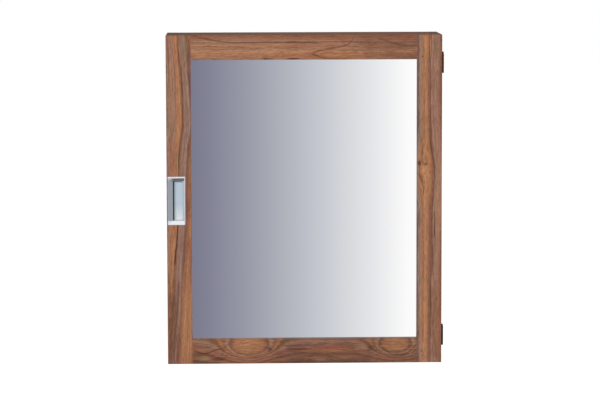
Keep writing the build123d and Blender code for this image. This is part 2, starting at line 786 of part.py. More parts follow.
with BuildPart() as catch_screws:
    with Locations(*catch_screw_planes):
        add(catch_screw)
catch_screws.part.label = "catch_screws"
export_step(catch_screws.part, "parts/catch_screws.step")

# Strike plate on the back of the door, facing the catch
with BuildPart() as strike_plate:
    with BuildSketch(Plane.XZ.offset(door_back - strike_thickness)):
        with Locations((catch_x, catch_z)):
            RectangleRounded(strike_width, strike_height, strike_corner)
    extrude(amount=strike_thickness)
    with Locations(strike_screw_plane):
        add(strike_screw_hole, mode=Mode.SUBTRACT)
strike_plate.part.label = "strike_plate"
export_step(strike_plate.part, "parts/strike_plate.step")

with BuildPart() as strike_screw_piece:
    with Locations(strike_screw_plane):
        add(strike_screw)
strike_screw_piece.part.label = "strike_screw"
export_step(strike_screw_piece.part, "parts/strike_screw.step")

# Soft bumpers on the front edge of the left side, just short of the closed door
bumper_x = side_thickness / 2 - half_width
bumper_z = half_height - bumper_inset
with BuildPart() as door_bumpers:
    with BuildSketch(Plane.XZ.offset(box_depth)):
        with Locations((bumper_x, -bumper_z), (bumper_x, bumper_z)):
            Circle(bumper_radius)
    extrude(amount=door_gap - catch_running_gap)
    fillet(door_bumpers.edges().group_by(Axis.Y)[0], bumper_round)
door_bumpers.part.label = "door_bumpers"
export_step(door_bumpers.part, "parts/door_bumpers.step")
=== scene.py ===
import math

import bpy
from mathutils import Matrix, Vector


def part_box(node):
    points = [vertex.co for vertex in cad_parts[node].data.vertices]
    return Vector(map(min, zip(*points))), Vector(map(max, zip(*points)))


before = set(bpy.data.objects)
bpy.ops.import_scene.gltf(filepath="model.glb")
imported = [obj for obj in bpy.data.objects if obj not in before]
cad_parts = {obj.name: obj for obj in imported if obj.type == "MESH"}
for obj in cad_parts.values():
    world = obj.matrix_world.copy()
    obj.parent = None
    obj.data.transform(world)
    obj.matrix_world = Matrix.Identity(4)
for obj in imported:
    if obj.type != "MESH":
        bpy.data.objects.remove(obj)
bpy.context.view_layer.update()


# Studio
# A plain pale room. The cabinet hangs at eye height over a white floor, with two soft boxes in front, two
# behind for the sides and back, and a small one overhead. What shines sees only the floor's glow and the sky,
# which runs from blue grey to white as in the mirror, and not the soft boxes themselves.

def linear(code):
    """An sRGB colour as #rrggbb, turned into the linear RGBA that a shader takes."""
    channels = [int(code[i:i + 2], 16) / 255 for i in (1, 3, 5)]
    return (*(c / 12.92 if c <= 0.04045 else ((c + 0.055) / 1.055) ** 2.4 for c in channels), 1.0)


def add(tree, kind, inputs=(), out=0, stops=None, **settings):
    """Adds a node with its settings, and returns one of its outputs. Inputs are in order or by name: a socket
    is linked and anything else is set. Stops are a ramp's places and colours, or a float curve's points."""
    made = tree.nodes.new("ShaderNode" + kind)
    for name, value in settings.items():
        setattr(made, name, value)
    for key, value in inputs.items() if isinstance(inputs, dict) else enumerate(inputs):
        if isinstance(value, bpy.types.NodeSocket):
            tree.links.new(value, made.inputs[key])
        else:
            made.inputs[key].default_value = value
    if stops and kind == "FloatCurve":
        points = made.mapping.curves[0].points
        while len(points) < len(stops):
            points.new(1.0, 1.0)
        for point, place in zip(points, stops):
            point.location = place
        made.mapping.update()
    elif stops:
        ramp = made.color_ramp.elements
        while len(ramp) < len(stops):
            ramp.new(1.0)
        for element, (place, code) in zip(ramp, stops):
            element.position = place
            element.color = linear(code)
    return made.outputs[out]


floor_level = -1.30
floor_side = 14.0
floor_front = -6.4
floor_back = 28.0
floor_glow = 0.95
mirrored_glow_near = 1.6
mirrored_glow_far = 0.95

floor_mesh = bpy.data.meshes.new("floor")
floor_mesh.from_pydata(
    [(-floor_side, floor_front, floor_level), (floor_side, floor_front, floor_level),
     (floor_side, floor_back, floor_level), (-floor_side, floor_back, floor_level)], [], [(0, 1, 2, 3)])
floor = bpy.data.objects.new("floor", floor_mesh)
bpy.context.scene.collection.objects.link(floor)

# Matt white paint. To the camera and through the clear bumpers it also glows, so that it is white and still
# keeps a shadow.
floor_paint = bpy.data.materials.new("matt_white_floor_paint")
floor_paint.use_nodes = True
tree = floor_paint.node_tree
tree.nodes.remove(tree.nodes["Principled BSDF"])
shown = add(tree, "Math", (add(tree, "LightPath", out="Is Camera Ray"),
                           add(tree, "LightPath", out="Is Transmission Ray")), operation="MAXIMUM")
# What shines sees the floor by its glow alone. That runs from white near the cabinet to blue grey far off, so
# that the mirror shows from the side too.
mirrored = add(tree, "LightPath", out="Is Glossy Ray")
matt = add(tree, "Mix", {"Factor": mirrored, "A": linear("#e6e6e6"), "B": linear("#000000")}, data_type="RGBA",
           out="Result")
matt = add(tree, "BsdfDiffuse", {"Color": matt})
reach = add(tree, "VectorMath", (add(tree, "TexCoord", out="Object"), (0.0, 0.0, floor_level)),
            operation="DISTANCE", out="Value")
reach = add(tree, "MapRange", {"Value": reach, "From Min": 1.2, "From Max": 5.0},
            interpolation_type="SMOOTHSTEP")
far = add(tree, "Math", (reach, mirrored), operation="MULTIPLY")
tint = add(tree, "Mix", {"Factor": far, "A": linear("#ffffff"), "B": linear("#b2b8c3")}, data_type="RGBA",
           out="Result")
mirrored_glow = add(tree, "MapRange", {"Value": reach, "To Min": mirrored_glow_near,
                                       "To Max": mirrored_glow_far})
strength = add(tree, "Math", (shown, floor_glow), operation="MULTIPLY")
strength = add(tree, "Math", (mirrored, mirrored_glow, strength), operation="MULTIPLY_ADD")
glow = add(tree, "Emission", {"Color": tint, "Strength": strength})
both = add(tree, "AddShader", (matt, glow))
tree.links.new(both, tree.nodes["Material Output"].inputs["Surface"])
floor_mesh.materials.append(floor_paint)

# The sky: white to the camera, dim to matt surfaces, and to shiny ones a run of greys round the horizon,
# nearly white above and below. The places of the run are the sine of the angle to the right of straight
# behind the camera. From there the mirror shows an even run of three colours, and the pull shows the rest.
# Behind the cabinet a low band is dark, so that its top doesn't shine.
sky = bpy.data.worlds.new("studio")
bpy.context.scene.world = sky
sky.use_nodes = True
tree = sky.node_tree
left_run = ((-1.0, "#ffffff"), (-0.6, "#fafdff"), (-0.3, "#f0f5f9"), (-0.16, "#dfe4ea"), (-0.09, "#a9adbd"),
            (-0.04, "#7f7f94"))
mirror_run = ((-0.014, "#79798d"), (0.03, "#bcbfc8"), (0.073, "#ffffff"))
right_run = ((0.12, "#ffffff"), (0.25, "#d2d5d9"), (0.45, "#c6c9cd"), (0.62, "#b4b8bd"), (0.8, "#a0a5ab"),
             (1.0, "#8a9097"))


def between(first, last, share):
    """The colour that lies this share of the way between two codes, in even steps to the eye."""
    pairs = [(int(first[i:i + 2], 16), int(last[i:i + 2], 16)) for i in (1, 3, 5)]
    return "#" + "".join(f"{round(a + (b - a) * share):02x}" for a, b in pairs)


steps = 5
shares = [step / steps for step in range(steps)]
even_run = [(start + (end - start) * share, between(first, last, share))
            for (start, first), (end, last) in zip(mirror_run, mirror_run[1:]) for share in shares]
sky_run = [*left_run, *even_run, mirror_run[-1], *right_run]
way = add(tree, "TexCoord", out="Generated")
bearing = add(tree, "VectorMath", (way, (1.0, 1.0, 0.0)), operation="MULTIPLY")
bearing = add(tree, "VectorMath", (bearing,), operation="NORMALIZE")
sideways = add(tree, "SeparateXYZ", (bearing,), out="X")
run = add(tree, "ValToRGB", (add(tree, "MapRange", {"Value": sideways, "From Min": -1.0, "From Max": 1.0}),),
          stops=[((place + 1) / 2, code) for place, code in sky_run])
height = add(tree, "SeparateXYZ", (way,), out="Z")
above = add(tree, "MapRange", {"Value": height, "From Min": 0.12, "From Max": 0.40},
            interpolation_type="SMOOTHSTEP")
below = add(tree, "MapRange", {"Value": height, "From Min": -0.18, "From Max": -0.45},
            interpolation_type="SMOOTHSTEP")
run = add(tree, "Mix", {"Factor": above, "A": run, "B": linear("#ffffff")}, data_type="RGBA", out="Result")
run = add(tree, "Mix", {"Factor": below, "A": run, "B": linear("#eef0f2")}, data_type="RGBA", out="Result")
behind = add(tree, "MapRange", {"Value": add(tree, "SeparateXYZ", (way,), out="Y"), "From Min": 0.25,
                                "From Max": 0.7}, interpolation_type="SMOOTHSTEP")
band = add(tree, "Math", (add(tree, "Math", (height, 0.2), operation="SUBTRACT"),), operation="ABSOLUTE")
band = add(tree, "MapRange", {"Value": band, "From Min": 0.45, "From Max": 0.25},
           interpolation_type="SMOOTHSTEP")
band = add(tree, "Math", (band, behind), operation="MULTIPLY")
run = add(tree, "Mix", {"Factor": band, "A": run, "B": linear("#5c5652")}, data_type="RGBA", out="Result")
shone = add(tree, "Math", (add(tree, "LightPath", out="Is Glossy Ray"),
                           add(tree, "LightPath", out="Is Transmission Ray")), operation="MAXIMUM")
soft = add(tree, "Mix", {"Factor": shone, "A": linear("#626262"), "B": run}, data_type="RGBA", out="Result")
soft = add(tree, "Mix", {"Factor": add(tree, "LightPath", out="Is Camera Ray"), "A": soft,
                         "B": linear("#ffffff")}, data_type="RGBA", out="Result")
tree.links.new(soft, tree.nodes["Background"].inputs["Color"])

for name, where, size, power in (
        ("soft_box_left", (-2.6, -4.2, 0.9), 2.2, 88.0),
        ("soft_box_right", (2.4, -4.2, 1.1), 2.2, 88.0),
        ("rear_soft_box_left", (-2.9, 3.9, 0.1), 2.2, 76.0),
        ("rear_soft_box_right", (2.9, 3.9, 0.1), 2.2, 76.0),
        ("soft_box_overhead", (0.0, -1.6, 2.8), 0.9, 5.0)):
    lamp = bpy.data.lights.new(name, "AREA")
    lamp.shape = "SQUARE"
    lamp.size = size
    lamp.energy = power
    soft_box = bpy.data.objects.new(name, lamp)
    bpy.context.scene.collection.objects.link(soft_box)
    soft_box.location = where
    soft_box.visible_glossy = False
    soft_box.rotation_euler = (-soft_box.location).to_track_quat("-Z", "Y").to_euler()

# The camera, as fitted to the photograph: 4.63 m in front of the door, a little left of it and 0.5 m up.
camera = bpy.data.objects.new("camera", bpy.data.cameras.new("camera"))
bpy.context.scene.collection.objects.link(camera)
bpy.context.scene.camera = camera
camera.data.sensor_width = 36.0
camera.data.lens = 153.8
camera.matrix_world = (Matrix.Translation((-0.1391, -4.7503, 0.4921))
                       @ Matrix.Rotation(math.radians(-1.621), 4, "Z")
                       @ Matrix.Rotation(math.radians(90 - 6.063), 4, "X")
                       @ Matrix.Rotation(math.radians(-0.144), 4, "Z"))

bpy.context.scene.view_settings.view_transform = "Standard"


# Box
# Side panels, top, bottom, hanging rails and shelves, planed from solid teak and oiled. The panels are
# dowelled together. Each board is cut from its own piece, so each has its own figure.

def dress(material, *names):
    """Gives the CAD nodes of these names one material."""
    for name in names:
        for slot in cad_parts[name].material_slots:
            slot.material = material


# How a board's own axes lie: grain up or across, and its wide face to the front, the side or the top.
upright = (0.0, math.radians(90), 0.0)
level = (0.0, 0.0, 0.0)
upright_side = (math.radians(-90), math.radians(90), 0.0)
flat = (math.radians(-90), 0.0, 0.0)

# The colours of oiled teak, from its darkest streaks to its sapwood side.
dark, umber, plum, rust, brown, pink, olive, grey, orange, tan, pale = (
    "#4c3029", "#6e4a38", "#7a524b", "#9c5f45", "#946349", "#a0705f", "#8f7753", "#947a6c", "#ad7250",
    "#ab8068", "#bd8760")


def teak(name, centre, turn, rings, pith=(0.0, -1000.0), lean=0.0, grade=1.0, flow=(), knots=(), eyes=(),
         patches=(), veins=(), seed=0.0):
    """Oiled teak for one board. In the board's own millimetres x runs along the grain, y through it and z
    across its face. The grain follows the flow, a curve of z against x, and spreads round knots: x, z, length,
    width and push. A ring's place is its distance from the pith, bent by a slow wander, a lean and the soft
    humps of the eyes: x, z, length, width and height. The ramp gives each ring its colour. Patches are soft
    spots: x, z, half length, half width, strength and colour. A vein is a dark line through points: half width,
    strength, colour, and then x and z of each point."""
    # Flows and veins are drawn on a sheet of this half length and half width, as large as the largest board.
    half_board, half_face = 300.0, 30.0
    material = bpy.data.materials.new(name)
    material.use_nodes = True
    tree = material.node_tree
    shader = tree.nodes["Principled BSDF"]
    at = add(tree, "Mapping", {"Vector": add(tree, "TexCoord", out="Object"), "Location": centre,
                               "Rotation": turn, "Scale": (0.001, 0.001, 0.001)}, vector_type="TEXTURE")
    along = add(tree, "SeparateXYZ", (at,), out="X")

    def grain(source, long, wide, detail, roughness=0.5, out="Fac"):
        stretched = add(tree, "Mapping", {"Vector": source, "Location": (seed, seed, seed),
                                          "Scale": (1 / long, 1 / wide, 1 / wide)})
        return add(tree, "TexNoise", {"Vector": stretched, "Scale": 1.0, "Detail": detail,
                                      "Roughness": roughness}, out=out)

    def bent(source, swing, reach):
        swing = add(tree, "VectorMath", (swing, (0.5, 0.5, 0.5)), operation="SUBTRACT")
        return add(tree, "VectorMath", (swing, (0.0, reach, reach), source), operation="MULTIPLY_ADD")

    def around(source, x, z, long, wide):
        return add(tree, "Mapping", {"Vector": source, "Location": (x, 0.0, z), "Scale": (long, 1e6, wide)},
                   vector_type="TEXTURE")

    def hump(near):
        near = add(tree, "VectorMath", (near, near), operation="DOT_PRODUCT", out="Value")
        near = add(tree, "Math", (near, -1.0), operation="MULTIPLY")
        return add(tree, "Math", (near,), operation="EXPONENT")

    lie = at
    if flow:
        place = add(tree, "MapRange", {"Value": along, "From Min": -half_board, "From Max": half_board})
        drift = add(tree, "FloatCurve", {"Value": place},
                    stops=[((x + half_board) / (2 * half_board), (z + half_face) / (2 * half_face))
                           for x, z in flow])
        drift = add(tree, "Math", (drift, -2 * half_face, half_face), operation="MULTIPLY_ADD")
        lie = add(tree, "VectorMath", (drift, (0.0, 0.0, 1.0), lie), operation="MULTIPLY_ADD")
    for x, z, long, wide, push in knots:
        near = around(at, x, z, long, wide)
        apart = add(tree, "VectorMath", {0: near, 3: hump(near)}, operation="SCALE")
        lie = add(tree, "VectorMath", (apart, (0.0, 0.0, -push * wide), lie), operation="MULTIPLY_ADD")
    ripple = grain(lie, 30, 9, 2.0, out="Color")
    wavy = bent(lie, ripple, 2.4)
    slow = bent(wavy, grain(lie, 190, 38, 2.0, out="Color"), 8.0)
    fibre = grain(wavy, 32, 1.9, 5.0, 0.7)
    fleck = grain(wavy, 11, 1.2, 1.0)
    pore = grain(wavy, 7, 0.5, 1.0)

    ring = add(tree, "Mapping", {"Vector": slow, "Location": (0.0, *pith), "Scale": (1e9, 1.0, 1.0)},
               vector_type="TEXTURE")
    ring = add(tree, "VectorMath", (ring,), operation="LENGTH", out="Value")
    ring = add(tree, "Math", (ring, math.hypot(*pith)), operation="SUBTRACT")
    ring = add(tree, "Math", (along, lean, add(tree, "Math", (ring, grade), operation="MULTIPLY")),
               operation="MULTIPLY_ADD")
    for x, z, long, wide, height in eyes:
        ring = add(tree, "Math", (hump(around(slow, x, z, long, wide)), height, ring), operation="MULTIPLY_ADD")
    growth = add(tree, "TexNoise", {"W": add(tree, "Math", (ring, 2.4), operation="DIVIDE"), "Scale": 1.0,
                                    "Detail": 2.0}, noise_dimensions="1D")
    ring = add(tree, "Math", (add(tree, "Math", (fibre, 0.5), operation="SUBTRACT"), 7.0, ring),
               operation="MULTIPLY_ADD")
    first, last = rings[0][0], rings[-1][0]
    ring = add(tree, "MapRange", {"Value": ring, "From Min": first, "From Max": last})
    colour = add(tree, "ValToRGB", (ring,),
                 stops=[((place - first) / (last - first), code) for place, code in rings])
    colour = add(tree, "Mix", {"Factor": 0.14, "A": colour, "B": grain(slow, 50, 4, 2.0, out="Color")},
                 data_type="RGBA", blend_type="OVERLAY", out="Result")

    traced = bent(at, ripple, 3.0)
    ragged = add(tree, "MapRange", {"Value": fibre, "From Min": 0.35, "From Max": 0.6, "To Min": 1.1,
                                    "To Max": 0.7})
    for x, z, long, wide, strength, code in patches:
        spot = add(tree, "TexGradient", (around(traced, x, z, long, wide),), out="Fac",
                   gradient_type="SPHERICAL")
        spot = add(tree, "Math", (spot, 1.8), operation="MULTIPLY", use_clamp=True)
        spot = add(tree, "Math", (spot, ragged), operation="MULTIPLY")
        spot = add(tree, "Math", (spot, strength), operation="MULTIPLY")
        colour = add(tree, "Mix", {"Factor": spot, "A": colour, "B": linear(code)}, data_type="RGBA",
                     out="Result")
    across = add(tree, "SeparateXYZ", (traced,), out="Z")
    for half_width, strength, code, *route in veins:
        start, end = route[0][0], route[-1][0]
        place = add(tree, "MapRange", {"Value": along, "From Min": start, "From Max": end})
        line = add(tree, "FloatCurve", {"Value": place},
                   stops=[((x - start) / (end - start), (z + half_face) / (2 * half_face)) for x, z in route])
        line = add(tree, "Math", (line, -2 * half_face, add(tree, "Math", (across, half_face))),
                   operation="MULTIPLY_ADD")
        line = add(tree, "MapRange", {"Value": add(tree, "Math", (line,), operation="ABSOLUTE"),
                                      "From Min": half_width * 1.25, "From Max": half_width * 0.35},
                   interpolation_type="SMOOTHSTEP")
        fade = add(tree, "Math", (place, 0.5), operation="PINGPONG")
        fade = add(tree, "MapRange", {"Value": fade, "From Max": 0.12, "To Max": strength})
        fade = add(tree, "Math", (fade, ragged), operation="MULTIPLY")
        line = add(tree, "Math", (line, fade), operation="MULTIPLY", use_clamp=True)
        colour = add(tree, "Mix", {"Factor": line, "A": colour, "B": linear(code)}, data_type="RGBA",
                     out="Result")

    # Long dark fibres, short flecks where the pores are open, and fine growth lines. The pores are drawn
    # coarser than the real 0.2 mm, so that they show.
    shade = add(tree, "MapRange", {"Value": fibre, "From Min": 0.30, "From Max": 0.70, "To Min": 0.64,
                                   "To Max": 1.24})
    for value, start, end, low, high in ((fleck, 0.34, 0.50, 0.76, 1.03), (pore, 0.32, 0.48, 0.84, 1.02),
                                         (growth, 0.36, 0.58, 0.85, 1.06)):
        layer = add(tree, "MapRange", {"Value": value, "From Min": start, "From Max": end, "To Min": low,
                                       "To Max": high})
        shade = add(tree, "Math", (shade, layer), operation="MULTIPLY")
    # End grain drinks more oil and is darker.
    end_on = add(tree, "Mapping", {"Vector": add(tree, "TexCoord", out="Normal"), "Rotation": turn},
                 vector_type="TEXTURE")
    end_on = add(tree, "Math", (add(tree, "SeparateXYZ", (end_on,), out="X"),), operation="ABSOLUTE")
    end_on = add(tree, "MapRange", {"Value": end_on, "From Min": 0.5, "From Max": 0.9, "To Min": 1.0,
                                    "To Max": 0.6})
    shade = add(tree, "Math", (shade, end_on), operation="MULTIPLY")
    colour = add(tree, "Mix", {"Factor": 1.0, "A": colour, "B": shade}, data_type="RGBA", blend_type="MULTIPLY",
                 out="Result")
    tree.links.new(colour, shader.inputs["Base Color"])
    shader.inputs["Roughness"].default_value = 0.5
    shader.inputs["Specular IOR Level"].default_value = 0.3
    relief = add(tree, "Math", (pore, fibre))
    bump = add(tree, "Bump", {"Strength": 0.25, "Distance": 0.0004, "Height": relief})
    tree.links.new(bump, shader.inputs["Normal"])
    return material


board_rings = (
    (-18, umber), (-14, brown), (-10, tan), (-6, pink), (-2, orange), (2, brown), (5, tan), (9, rust),
    (12, tan), (16, orange), (20, brown), (24, pale), (29, pink), (33, orange), (38, brown), (42, umber))
# A wide umber patch dims every board a little, and the top panel much more, as painted shade on it.
for seed, (board, turn, pith, lean, tone_and_top_shade) in enumerate((
        ("left_side_panel", upright_side, (-36, 12), 0.030, 0.1),
        ("right_side_panel", upright_side, (44, -8), -0.026, 0.1),
        ("top_panel", flat, (-50, 10), 0.035, 0.5), ("bottom_panel", flat, (40, -14), 0.030, 0.1),
        ("upper_hanging_rail", level, (-30, 6), 0.020, 0.1),
        ("lower_hanging_rail", level, (30, 4), -0.020, 0.1),
        ("upper_shelf", flat, (-42, -10), 0.030, 0.1), ("lower_shelf", flat, (38, 8), -0.034, 0.1))):
    low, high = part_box(board)
    middle = [(a + b) / 2 for a, b in zip(low, high)]
    dress(teak("oiled_teak_" + board, middle, turn, board_rings, pith, lean, seed=20.0 + 3 * seed,
               patches=((0, 0, 600, 300, tone_and_top_shade, umber),)), board)


# Back
# A 6 mm birch plywood panel in a rebate behind the box, with ten zinc-plated screws. The face is a peeled
# veneer with a broad soft figure, and the cut edges show the thin crossed plies. Beech dowels join the box's
# corners.

def plywood(name, back_face, seed):
    """Birch plywood standing upright. Contours of a slow noise, pulled out along the height, are the face's
    figure, and the edges go light and dark by the depth, ply by ply."""
    ply_thickness = 1.2
    material = bpy.data.materials.new(name)
    material.use_nodes = True
    tree = material.node_tree
    shader = tree.nodes["Principled BSDF"]
    at = add(tree, "Mapping", {"Vector": add(tree, "TexCoord", out="Object"), "Location": (0.0, back_face, 0.0),
                               "Scale": (0.001, 0.001, 0.001)}, vector_type="TEXTURE")
    slow = add(tree, "Mapping", {"Vector": at, "Location": (seed, seed, seed),
                                 "Scale": (1 / 70, 1 / 70, 1 / 480)})
    slow = add(tree, "TexNoise", {"Vector": slow, "Scale": 1.0, "Detail": 1.5})
    contour = add(tree, "Math", (slow, 10.0), operation="MULTIPLY")
    contour = add(tree, "Math", (contour, 1.0), operation="PINGPONG")
    face = add(tree, "ValToRGB", (contour,), stops=((0.0, "#c29c70"), (0.5, "#c9a57a"), (1.0, "#cfae86")))
    fine = add(tree, "Mapping", {"Vector": at, "Scale": (1 / 0.9, 1 / 0.9, 1 / 26)})
    fine = add(tree, "TexNoise", {"Vector": fine, "Scale": 1.0, "Detail": 3.0, "Roughness": 0.6})
    ply = add(tree, "Math", (add(tree, "SeparateXYZ", (at,), out="Y"), ply_thickness), operation="PINGPONG")
    edge = add(tree, "ValToRGB", (ply,), stops=((0.3, "#8a6543"), (0.8, "#c9a77b")))
    facing = add(tree, "SeparateXYZ", (add(tree, "TexCoord", out="Normal"),), out="Y")
    facing = add(tree, "Math", (facing,), operation="ABSOLUTE")
    facing = add(tree, "MapRange", {"Value": facing, "From Min": 0.5, "From Max": 0.9})
    colour = add(tree, "Mix", {"Factor": facing, "A": edge, "B": face}, data_type="RGBA", out="Result")
    shade = add(tree, "MapRange", {"Value": fine, "From Min": 0.3, "From Max": 0.7, "To Min": 0.84,
                                   "To Max": 1.06})
    colour = add(tree, "Mix", {"Factor": 1.0, "A": colour, "B": shade}, data_type="RGBA", blend_type="MULTIPLY",
                 out="Result")
    tree.links.new(colour, shader.inputs["Base Color"])
    shader.inputs["Roughness"].default_value = 0.62
    shader.inputs["Specular IOR Level"].default_value = 0.25
    tree.links.new(add(tree, "Bump", {"Strength": 0.2, "Distance": 0.0003, "Height": fine}),
                   shader.inputs["Normal"])
    return material


dress(plywood("birch_plywood_back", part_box("back_panel")[1][1], 31.0), "back_panel")

# Beech: pale pink brown, with the short dark flecks of its rays along the dowel.
beech = bpy.data.materials.new("turned_beech")
beech.use_nodes = True
tree = beech.node_tree
shader = tree.nodes["Principled BSDF"]
at = add(tree, "TexCoord", out="Object")
fleck = add(tree, "Mapping", {"Vector": at, "Scale": (1000 / 2.5, 1000 / 0.4, 1000 / 0.4)})
fleck = add(tree, "TexNoise", {"Vector": fleck, "Scale": 1.0, "Detail": 1.0})
tree.links.new(add(tree, "ValToRGB", (fleck,), stops=((0.36, "#9c6f4c"), (0.44, "#c99a70"), (0.7, "#d6ad84"))),
               shader.inputs["Base Color"])
shader.inputs["Roughness"].default_value = 0.6
dress(beech, "carcase_dowels")


def plated_metal(name, dull, bright, rough, smooth, cloud_size):
    """Thin bright plating: dull and bright clouds of the given size in millimetres, rougher where dull, over
    faint pits of about 0.2 mm."""
    material = bpy.data.materials.new(name)
    material.use_nodes = True
    tree = material.node_tree
    shader = tree.nodes["Principled BSDF"]
    at = add(tree, "TexCoord", out="Object")
    cloud = add(tree, "TexNoise", {"Vector": at, "Scale": 1000 / cloud_size, "Detail": 4.0, "Roughness": 0.6})
    tree.links.new(add(tree, "ValToRGB", (cloud,), stops=((0.35, dull), (0.65, bright))),
                   shader.inputs["Base Color"])
    tree.links.new(add(tree, "MapRange", {"Value": cloud, "From Min": 0.35, "From Max": 0.65, "To Min": rough,
                                          "To Max": smooth}), shader.inputs["Roughness"])
    shader.inputs["Metallic"].default_value = 1.0
    pits = add(tree, "TexNoise", {"Vector": at, "Scale": 1000 / 0.2, "Detail": 1.0})
    tree.links.new(add(tree, "Bump", {"Strength": 0.08, "Distance": 0.0001, "Height": pits}),
                   shader.inputs["Normal"])
    return material


# Zinc plating with a clear passivate: blue white, cloudy, half bright.
zinc_steel = plated_metal("zinc_plated_steel", "#8f969c", "#c6cbd0", 0.48, 0.30, 3.0)
dress(zinc_steel, "back_panel_screws")


# Shelf pins
# Turned steel pins, nickel-plated, pushed into the holes in the sides so that the shelves lie on them.
# Nickel is a warm grey and brighter than zinc.

dress(plated_metal("nickel_plated_steel", "#aaa396", "#d3cdc2", 0.30, 0.16, 4.0), "shelf_pins")


# Door frame
# Two stiles and two rails of oiled teak, chosen for their figure: mortised and tenoned, with flush faces and
# eased edges. The rails have the wild figure of a branchy log, with eyes, and the stiles run straighter,
# round one knot in the right one.

door_middle = -0.1114
stile_middle = 0.2275
rail_middle = 0.2775

dress(teak("oiled_teak_left_stile", (-stile_middle, door_middle, 0.0), upright, (
    (-31, tan), (-26, grey), (-22, tan), (-17, pink), (-13, tan), (-8, orange), (-4, pale), (-1.6, orange),
    (0, brown), (3, pink), (7, grey), (11, tan), (15, plum), (18, brown), (24, orange), (29, brown),
    (34, orange), (38, rust), (43, brown)),
    flow=((-300, -1), (-245, 3.5), (-190, 7), (-140, 8), (-105, 3), (-60, -0.5), (0, -1.5), (50, -3), (110, -8),
          (160, -10), (205, -12), (255, -17), (300, -20)),
    patches=(
        (-272, 13, 38, 5, 0.8, olive), (-195, 0.5, 32, 4, 0.9, pale), (-137, 0, 27, 6, 0.9, pale),
        (-128, -11.5, 34, 2.2, 0.7, olive), (-66, -4.5, 28, 2.6, 0.8, olive), (-85, 8.5, 16, 2.4, 0.7, olive),
        (-68, 19.5, 22, 2.6, 0.7, olive), (-74, -12, 38, 5, 0.6, rust), (-126, 15.5, 20, 8, 0.6, grey),
        (58, -11, 14, 8, 0.8, orange), (258, -0.3, 6, 1.8, 0.9, umber), (270, 0, 70, 30, 0.2, rust),
        (230, -15, 115, 16, 0.85, umber), (225, 14, 125, 16, 0.7, pale), (-205, -15.5, 95, 4, 0.6, pale),
        (-205, -12, 110, 12, 0.7, tan)),
    veins=(
        (1.7, 0.85, umber, (-305, -0.8), (-260, 1.5), (-242, 4.5), (-218, 6.7), (-190, 7.3), (-156, 7.9),
         (-136, 8.1), (-117, 5.2), (-100, 2.4), (-79, 0.3), (-60, -0.4), (-40, 0)),
        (1.8, 1.0, dark, (36, -1.8), (65, -3.6), (82, -5.2), (97, -6.9), (122, -9.6)),
        (1.8, 0.95, umber, (140, -1.5), (175, -2.6), (200, -4.7), (225, -7.4), (264, -11.4)),
        (1.8, 0.8, plum, (-300, 20.5), (-260, 20.8), (-225, 19.5), (-185, 20.5)),
        (1.0, 0.9, umber, (-110, 14.5), (-95, 17), (-80, 19.5)),
        (1.0, 0.7, rust, (50, 6), (72, 6.3), (96, 5.6)),
        (0.9, 0.6, brown, (-290, -10), (-220, -6), (-150, -5), (-100, -9)),
        (0.9, 0.7, umber, (-297, -18.5), (-240, -17.5), (-180, -18.6), (-130, -19.6)),
        (0.9, 0.45, umber, (110, 12), (160, 9), (220, 4), (290, -2)))), "left_stile")

dress(teak("oiled_teak_right_stile", (stile_middle, door_middle, 0.0), upright, (
    (-24, umber), (-21.5, plum), (-18.5, grey), (-15, tan), (-11, orange), (-7, pale), (-3, orange), (0, brown),
    (2.5, plum), (5, tan), (9, pink), (13, tan), (17, pink), (20, brown), (24, umber)),
    knots=((-52, -8, 55, 22, 0.75),), seed=4.0,
    patches=(
        (-282, 12, 22, 6, 0.7, olive), (-278, 1.6, 28, 1.4, 0.8, pale), (-260, -13.6, 2.8, 2, 1.0, dark),
        (-66.5, -19, 6, 3.5, 1.0, dark), (-65, -7.5, 3, 7, 0.7, umber), (-51, -7, 10, 11, 0.9, pale),
        (-49.5, 1, 3.5, 2.4, 0.8, rust), (-43, 13, 32, 3.5, 0.8, olive), (36, -19, 22, 4.5, 0.7, plum),
        (10, 10, 14, 2.8, 0.7, olive), (243, 6, 66, 2.6, 0.7, grey), (165, -9, 36, 6, 0.6, pale),
        (279, -13.6, 2.8, 2, 1.0, dark), (287, -13, 3, 2, 0.9, dark), (285, 14, 9, 5, 0.8, plum),
        (0, 15, 120, 11, 0.6, tan), (0, 15, 120, 11, 0.2, pale),
        (230, 14, 100, 14, 0.85, brown), (225, -13, 100, 11, 0.45, pale), (-220, -12, 100, 11, 0.25, pale)),
    veins=(
        (1.5, 0.9, umber, (-170, 1.4), (-140, 1.9), (-110, 2.2), (-92, 3.6), (-76, 6.6), (-52, 9.0), (-25, 7.6),
         (5, 5.6), (30, 4.8)),
        (2.0, 0.95, umber, (15, 5.4), (45, 4.6), (80, 5.2), (110, 5.6), (142, 4.4)),
        (1.7, 0.85, umber, (146, 2.2), (175, 1.6), (210, 2.2), (256, 1.9)),
        (1.4, 0.9, dark, (18, 8.9), (45, 9.4), (72, 8.6)),
        (1.2, 0.9, umber, (-50, -21), (-42, -17.5), (-34, -14), (-24, -11.5), (-8, -10)),
        (1.2, 0.8, umber, (-104, -12), (-86, -12.5), (-73, -14.5), (-62, -19.5)),
        (0.9, 0.6, brown, (-290, -12), (-220, -9), (-150, -10), (-90, -8)),
        (0.9, 0.6, brown, (60, -12), (130, -10), (200, -13), (280, -11)))), "right_stile")

